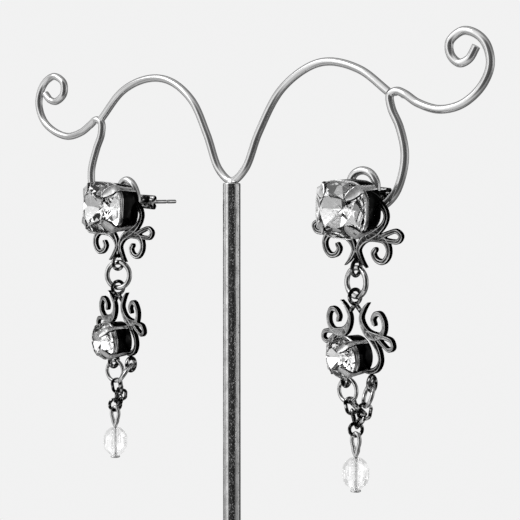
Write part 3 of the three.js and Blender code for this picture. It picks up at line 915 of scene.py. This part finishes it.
# A claw from its foot to its tip: where each row is measured from, how far out and how far
# up from there, and its width and thickness as shares of the claw's own.
CLAW_ROWS = [
    ("foot", 0.02, 0.4, 0.5, 0.8),
    ("half_way", 0, 0, 0.54, 0.85),
    ("edge", 0, -0.7, 0.6, 1),
    ("edge", 0.1, 0.1, 0.66, 1),
    ("girdle", 0.13, -0.12, 0.8, 0.9),
    ("girdle", 0, 0.28, 0.88, 0.9),
    ("girdle", -0.5, 0.64, 0.95, 0.85),
    ("girdle", -1.05, 1.06, 0.86, 0.8),
    ("girdle", -1.5, 1.4, 0.66, 0.65),
    ("girdle", -1.85, 1.62, 0.3, 0.45),
]


def claw_section(spot, station):
    """A claw's section: a strap with raised edges."""
    middle, heading, width, thick, bend = station
    out = Vector((heading.z, 0, -heading.x))
    across, lift = spot
    aside = across * width / 2
    return middle + Vector((-aside ** 2 / (2 * bend), aside, 0)) + out * lift * thick


def claw_shape(size):
    """One claw, with its leg down the cup's corner: x out from the middle, z forward."""
    ratio = size["corner"] / size["half"]
    spread = (1 - ratio) * math.sqrt(2) + ratio
    edge, foot = size["rim_half"] * spread, size["back_half"] * spread
    rim, back = size["rim"], size["back"]
    base = {
        "foot": (foot, back), "half_way": ((foot + edge) / 2, (back + rim) / 2),
        "edge": (edge, rim), "girdle": (size["half"] * spread, size["girdle"]),
    }
    rows = []
    for start, out, up, width, thick in CLAW_ROWS:
        scale = 1 if start == "foot" else size["scale"]
        across, forth = base[start]
        rows.append((
            across + out * scale, forth + up * scale, size["claw"] * width,
            size["claw_thick"] * thick,
        ))
    stations = []
    for point, before, after in in_threes(route(rows, 40)):
        heading = Vector((after[0] - before[0], 0, after[1] - before[1])).normalized()
        middle = Vector((point[0], 0, point[1]))
        stations.append((middle, heading, point[2], point[3], size["corner"]))
    return lofted(claw_section, CLAW_BAND, stations, CLAW_FINISH)


def claws_shape(size):
    one = claw_shape(size)
    four = [put_at(spun(turn, "Z"), one.copy()) for turn in (45, 135, 225, 315)]
    one.free()
    return merged(*four)


TO_FRONT = spun(90, "X")  # a shape drawn along Z faces -Y


def support(size, azimuth):
    """How far the stone's outline reaches in a direction."""
    turn = math.radians(azimuth)
    straight = size["half"] - size["corner"]
    return straight * (abs(math.cos(turn)) + abs(math.sin(turn))) + size["corner"]


def cut_facet(bm, azimuth, tilt, reach, height):
    """Grinds one facet: the plane leans tilt degrees and passes reach out at that height."""
    turn, lean = math.radians(azimuth), math.radians(tilt)
    normal = Vector((
        math.sin(lean) * math.cos(turn), math.sin(lean) * math.sin(turn), math.cos(lean),
    ))
    point = Vector((reach * math.cos(turn), reach * math.sin(turn), height))
    result = bmesh.ops.bisect_plane(
        bm, geom=[*bm.verts, *bm.edges, *bm.faces], dist=1e-5, plane_co=point,
        plane_no=normal, clear_outer=True,
    )
    cut = only(BMEdge, result["geom_cut"])
    if len(cut) > 2:
        bmesh.ops.contextual_create(bm, geom=cut)


# How much each kind of facet leans from its main facet, in degrees.
STAR_LEAN, UPPER_LEAN, LOWER_LEAN, INNER_LEAN, FAN_LEAN = -15, 7, -5, 9, 6
FOIL_SLOPE = -0.3  # facets that face further back than this are foiled
EIGHTH = 45
SIXTEENTH = EIGHTH / 2


def stone_shape(size):
    """A brilliant cut: table, stars, kites and halves above, mains and three tiers below."""
    bm = bmesh.new()
    half, corner = size["half"], size["corner"]
    edges = outline_loop(bm, half, corner, 0, per_corner=8, round_steps=64)
    base = bmesh.ops.contextual_create(bm, geom=edges)["faces"]
    top, bottom = size["table"], size["culet"]
    bmesh.ops.translate(bm, vec=(0, 0, bottom), verts=bm.verts)
    grown = bmesh.ops.extrude_face_region(bm, geom=base)["geom"]
    bmesh.ops.translate(bm, vec=(0, 0, top - bottom), verts=only(BMVert, grown))
    closed_shape(bm)
    share = size["table_half"] / half
    girdle, below = size["girdle"], size["girdle_back"]
    deep = below - bottom
    for azimuth in range(0, 360, EIGHTH):
        reach = support(size, azimuth)
        tilt = math.degrees(math.atan2(top - girdle, reach * (1 - share)))
        cut_facet(bm, azimuth, tilt, reach, girdle)
        star = azimuth + SIXTEENTH
        inner = support(size, star) * share * 0.93
        cut_facet(bm, star, tilt + STAR_LEAN, inner, top)
        beside = (azimuth - SIXTEENTH / 2, azimuth + SIXTEENTH / 2)
        for half_way in beside:
            outer = support(size, half_way)
            cut_facet(bm, half_way, tilt + UPPER_LEAN, outer, girdle)
        depth = math.degrees(math.atan2(deep, reach))
        cut_facet(bm, azimuth, 180 - depth, reach, below)
        for half_way in beside:
            outer = support(size, half_way)
            back = 180 - math.degrees(math.atan2(deep, outer))
            cut_facet(bm, half_way, back + LOWER_LEAN, outer, below)
            cut_facet(bm, half_way, back + INNER_LEAN, outer * 0.42, bottom + deep * 0.52)
        outer = support(size, star)
        back = 180 - math.degrees(math.atan2(deep, outer))
        cut_facet(bm, star, back + FAN_LEAN, outer * 0.6, bottom + deep * 0.69)
    bmesh.ops.dissolve_limit(
        bm, angle_limit=math.radians(0.5), verts=bm.verts, edges=bm.edges,
    )
    bmesh.ops.recalc_face_normals(bm, faces=bm.faces)
    for face in bm.faces:
        face.material_index = 1 if face.normal.z < FOIL_SLOPE else 0
    return bm


def ear_post_shape(reach):
    """The straight post with a pad where it is soldered, and a notch for the clutch."""
    radius = EAR_POST["diameter"] / 2
    rows = [
        (0, 0.3), (1.1, 0.3), (1.1, 0.62), (radius + 0.12, 0.85), (radius, 1.2),
        (radius, reach - 2.5), (radius - 0.07, reach - 2.35), (radius - 0.07, reach - 2.1),
        (radius, reach - 1.95), (radius, reach - 0.12), (radius - 0.12, reach), (0, reach),
    ]
    shape = turned_shape(rounded_rows(rows, radius=0.12, steps=3), steps=28)
    return put_at(moved(0, 0, EAR_POST["height"]) @ spun(-90, "X"), shape)


# Corners of the clutch's strip: across, as a share of its half width, and through it.
NUT_BAND = [
    (1, -0.5), (1, 0.5), (0.94, 1), (-0.94, 1), (-1, 0.5), (-1, -0.5), (-0.94, -1), (0.94, -1),
]


def nut_section(spot, station):
    """The clutch's strip, a thin band with softened sides."""
    middle, heading, width = station
    across, through = spot
    out = Vector((0, heading.z, -heading.y))
    return middle + Vector((across * width / 2, 0, 0)) + out * through * NUT["strip"] / 2


def nut_shape():
    """A butterfly clutch: a strip with both ends rolled over, and a dimpled hole."""
    shapes = []
    for way in (1, -1):
        rows = [(0, 0.0), (0, 0.45)]
        for turn in range(-10, 290, 20):
            bend = math.radians(turn)
            rows.append((
                NUT["roll_y"] - NUT["roll"] * math.cos(bend),
                NUT["roll_z"] + NUT["roll"] * math.sin(bend),
            ))
        points = route([Vector((0, y, way * z)) for y, z in rows], 60)
        stations = []
        for index, (point, before, after) in enumerate(in_threes(points)):
            width = NUT["width"] - NUT["taper"] * index / len(points)
            stations.append((point, (after - before).normalized(), width))
        shapes.append(lofted(nut_section, NUT_BAND, stations))
    shapes.append(ring_shape(NUT["eye"], NUT["strip"], steps=32, sides=10))
    return merged(*shapes)


def cross_ring(size, height):
    """A ring that crosses a setting's plane, where another one hangs."""
    ring = ring_shape(size["radius"], size["wire"], steps=40, sides=14)
    return put_at(moved(0, 0, height) @ spun(90, "Z"), ring)


def make_upper(side, hang):
    place = moved(*hang["place"]) @ turned(*hang["stud"])
    front = place @ TO_FRONT
    tab_foot = UPPER_RING["height"] + UPPER_RING["radius"] - 0.1
    tab_line = [Vector((0, 0, TAB["top"])), Vector((0, 0, tab_foot))]
    tab = rounded_wire(tab_line, TAB["diameter"])
    ring = cross_ring(UPPER_RING, UPPER_RING["height"])
    post = ear_post_shape(hang["post"])
    stone = stone_shape(UPPER)
    on_post = place @ moved(0, NUT["place"], EAR_POST["height"])
    make_pieces(side, "stand", [
        # The upper plate's faces carry painted shade, and the ring and the claws' sides carry
        # painted shadow.
        (
            "upper_scrolls", scroll_plate(False), place, "dark_face dark_edge wall dark_face", 24,
            "dark_plate", "upper_frame",
        ),
        ("upper_cup", cup_shape(UPPER), front, "cup edge", 38, "dark_plate"),
        ("upper_claws", claws_shape(UPPER), front, "claw edge shadow", 30, "dark_plate"),
        ("upper_ring", merged(ring, tab), place, "shadow", 45, "dark_plate"),
        ("ear_post", post, place, "silver", 45, "dark_plate"),
        ("upper_crystal", stone, front, "crystal foil", 1, "crystal", "upper_stone"),
        ("clutch", nut_shape(), on_post, "link", 40, "plate", "ear_nut"),
    ])


def upper_pivot(hang):
    ring = turned(*hang["stud"]) @ Vector((0, 0, UPPER_RING["height"]))
    return Vector(hang["place"]) + ring


def make_connector(side, hang):
    place = Matrix.Translation(upper_pivot(hang)) @ turned(hang["ring_yaw"], 0, 0)
    place = place @ moved(0, 0, CONNECTOR["height"] - UPPER_RING["height"])
    shape = ring_shape(
        CONNECTOR["radius"], CONNECTOR["wire"], steps=72, sides=20, gap=CONNECTOR["gap"],
        cut=CONNECTOR["cut"], flat=0.94,
    )
    make_pieces(side, f"{side}_ring", [
        ("connector", shape, place, "silver", 45, "plate", "connector_ring"),
    ])


def drop_frame(hang):
    yaw = turned(hang["drop_yaw"], 0, 0)
    slide = yaw @ Vector(hang["slide"])
    fall = Vector((0, 0, LOWER_RING["height"] - UPPER_RING["height"]))
    return Matrix.Translation(upper_pivot(hang) + fall + slide) @ yaw


def make_lower(side, hang):
    place = drop_frame(hang) @ turned(*hang["lean"]) @ moved(0, 0, -LOWER_DROP)
    front = place @ TO_FRONT
    rings, loops = [cross_ring(LOWER_RING, LOWER_DROP)], []
    for way in (1, -1):
        strut = [
            Vector((0, 0, LOWER_DROP - LOWER_RING["radius"])),
            Vector((way * STRUT["x"], 0, STRUT["foot"])),
        ]
        rings.append(rounded_wire(strut, STRUT["diameter"], sides=14))
        loop = ring_shape(LOOP["radius"], LOOP["wire"], steps=36, sides=14)
        spot = moved(way * LOOP["x"], LOOP["y"], LOOP["height"])
        loops.append(put_at(spot @ spun(LOOP["turn"], "Z"), loop))
    stone = stone_shape(LOWER)
    make_pieces(side, f"{side}_drop", [
        # The lower plate's faces carry painted light and its lobe painted shade, and the rings
        # and the claws' sides carry painted shadow.
        (
            "lower_scrolls", scroll_plate(True), place, "pale_face edge wall dark_face", 24,
            "plate", "lower_frame",
        ),
        ("lower_cup", cup_shape(LOWER), front, "cup edge", 38, "plate"),
        ("lower_claws", claws_shape(LOWER), front, "claw edge shadow", 30, "plate"),
        ("lower_rings", merged(*rings), place, "shadow", 45, "plate"),
        ("lower_loops", merged(*loops), place, "link", 45, "plate"),
        ("lower_crystal", stone, front, "crystal foil", 1, "crystal", "lower_stone"),
    ])


# ------------------------------------------------------------------ chain and bead


def plumb_frame(hang):
    spot = turned(*hang["lean"]) @ Vector((0, LOOP["y"], LOOP["height"] - LOWER_DROP))
    return drop_frame(hang) @ Matrix.Translation(spot)


def bead_frame(hang):
    return plumb_frame(hang) @ moved(hang["shift"], 0, -hang["sag"])


def make_jump_rings(side, hang):
    tilt = math.sin(math.radians(hang["lean"][2]))
    for word, way in (("left", -1), ("right", 1)):
        hung = moved(way * LOOP["x"], 0, -way * LOOP["x"] * tilt)
        place = plumb_frame(hang) @ hung @ turned(*hang["jump"][word])
        place = place @ moved(0, 0, -JUMP["radius"])
        shape = ring_shape(
            JUMP["radius"], JUMP["wire"], steps=56, sides=16, gap=JUMP["gap"],
            cut=way * JUMP["cut"],
        )
        make_pieces(side, f"{side}_drop", [
            (f"jump_{word}", shape, place, "silver", 45, "plate", f"jump_ring_{word}"),
        ])


def link_shape(length, width, wire):
    """An oval link in the XZ plane, longer along Z. Its sizes are to its wire's middle."""
    radius = width / 2
    straight = max(length / 2 - radius, 0.02)
    line = []
    for turn in range(0, 360, 15):
        bend = math.radians(turn + 7.5)
        shift = straight if math.sin(bend) > 0 else -straight
        line.append(Vector((radius * math.cos(bend), 0, radius * math.sin(bend) + shift)))
    return wire_shape(line, wire, 12, closed=True)


def make_chain(side, hang):
    shapes = []
    wire = LINK_WIRE
    for chain in hang["chains"]:
        points = evenly(route(chain["rows"], 60), chain["links"])
        face = Vector(chain["faces"])
        for width, start, end in zip(chain["widths"], points, points[1:]):
            run = end - start
            link = link_shape(run.length + wire, width - wire, wire)
            shapes.append(put_at(facing((start + end) / 2, run, face), link))
            face = run.cross(face).normalized()
    joint = hang["joint"]
    ring = ring_shape(joint["radius"], wire, steps=40, sides=12)
    shapes.append(put_at(facing(joint["middle"], UP, joint["faces"]), ring))
    make_pieces(side, f"{side}_drop", [
        ("chain_links", merged(*shapes), plumb_frame(hang), "link", 50, "plate", "chain"),
    ])


def make_eye_pin(side, hang):
    """The pin: a long drop-shaped eye, a neck, and a flat head under the bead."""
    half, top, bottom = EYE["half_width"], EYE["top"], EYE["bottom"]
    rows = [
        (0, 0, bottom + 0.5), (-0.22, 0, bottom + 0.85), (-half * 0.85, 0, bottom + 1.7),
        (-half, 0, top - 0.95), (-half * 0.72, 0, top - 0.3), (0, 0, top),
        (half * 0.72, 0, top - 0.3), (half, 0, top - 0.95), (half * 0.85, 0, bottom + 1.7),
        (0.22, 0, bottom + 0.85), (0, 0, bottom + 0.45),
    ]
    eye = rounded_wire(route(rows, 64), EYE["wire"], sides=14)
    foot, rim, head = PIN["foot"], PIN["rim"], PIN["head"] / 2
    rows = [
        (0, foot), (head * 0.8, foot), (head, foot + rim * 0.45), (head * 0.9, foot + rim),
        (PIN["wire"] / 2, foot + rim), (PIN["wire"] / 2, bottom + 0.7), (0, bottom + 0.95),
    ]
    stem = turned_shape(rounded_rows(rows, radius=0.1, steps=3), steps=28)
    place = bead_frame(hang) @ spun(hang["eye_turn"], "Z")
    upper = [corner for corner in eye.verts if corner.co.z > bottom + 1.2]
    bmesh.ops.translate(eye, vec=(0, 0, hang["sag"]), verts=upper)
    make_pieces(side, f"{side}_drop", [
        ("eye_pin", merged(eye, stem), place, "pin", 45, "plate", "head_pin"),
    ])


def rod(radius, length, sides):
    bm = bmesh.new()
    bmesh.ops.create_cone(
        bm, cap_ends=True, segments=sides, radius1=radius, radius2=radius, depth=length,
    )
    return bm


def bead_shape():
    """A long faceted bead with flat ends, ground from a round blank."""
    radius, half = BEAD["diameter"] / 2, BEAD["length"] / 2
    bm = rod(radius, BEAD["length"], sides=64)
    for index in range(10):
        cut_facet(bm, 36 * index, 90, radius * 0.985, 0)
    for offset, lean, reach, height in ((18, 66, radius, 0.28), (0, 42, radius * 0.86, 0.66)):
        for index in range(10):
            azimuth = offset + 36 * index
            cut_facet(bm, azimuth, lean, reach, half * height)
            cut_facet(bm, azimuth, 180 - lean, reach, -half * height)
    bmesh.ops.recalc_face_normals(bm, faces=bm.faces)
    return put_at(moved(0, 0, BEAD["height"]), bm)


def make_bead(side, hang):
    place = bead_frame(hang)
    middle = Matrix.Translation(place @ Vector((0, 0, BEAD["height"])))
    drill = put_at(middle, rod(BEAD["bore"] / 2, BEAD["length"] * 1.2, sides=24))
    drilled = combined([put_at(place, bead_shape()), drill], "DIFFERENCE")
    make_pieces(side, f"{side}_drop", [
        ("glass_bead", drilled, moved(0, 0, 0), "bead", 20, "bead_glass", "bead"),
    ])


# ------------------------------------------------------------------ assembly

set_camera()
set_surroundings()
make_floor()
set_light()
bpy.context.scene.view_settings.view_transform = "Standard"

make_stand()
for side, hang in HANGING.items():
    make_upper(side, hang)
    make_connector(side, hang)
    make_lower(side, hang)
    make_jump_rings(side, hang)
    make_chain(side, hang)
    make_eye_pin(side, hang)
    make_bead(side, hang)
